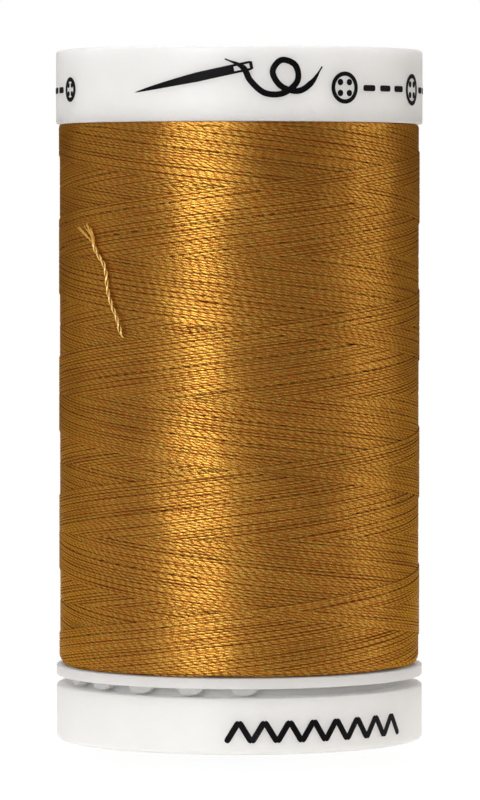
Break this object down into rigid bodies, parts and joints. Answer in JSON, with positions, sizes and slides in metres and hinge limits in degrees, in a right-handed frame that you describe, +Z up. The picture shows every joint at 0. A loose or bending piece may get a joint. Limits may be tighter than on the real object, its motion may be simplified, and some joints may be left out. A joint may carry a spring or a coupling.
{
  "type": "spool of thread",
  "caption": "Upright spool of glossy cross-wound sewing thread on a white plastic core, with a base cap that pulls open to clamp the thread's loose end.",
  "frame": {"origin": "centre of the foot, on the surface that the spool stands on", "axes": "+Z up along the spool's axis, -Y the front, +X to the right seen from the front"},
  "size_m": [0.034, 0.034, 0.0638],
  "materials": {
    "white_plastic": "satin-gloss moulded polypropylene, white and slightly translucent",
    "cap_plastic": "satin-gloss moulded polypropylene, white",
    "gold_thread": "glossy two-ply trilobal polyester thread, cross-wound, dark gold",
    "loose_thread": "glossy two-ply polyester thread, loose end, bright gold",
    "black_ink": "black pad-printed ink, satin"
  },
  "bodies": {
    "spool": {"spool_body": "white_plastic", "thread_package": "gold_thread", "thread_tail": "loose_thread"},
    "base": {"base_cap": "cap_plastic"}
  },
  "joints": [
    {"name": "base_cap_pull", "type": "slide", "parent": "spool", "child": "base", "axis": [0, 0, -1], "range_m": [0, 0.002]}
  ]
}
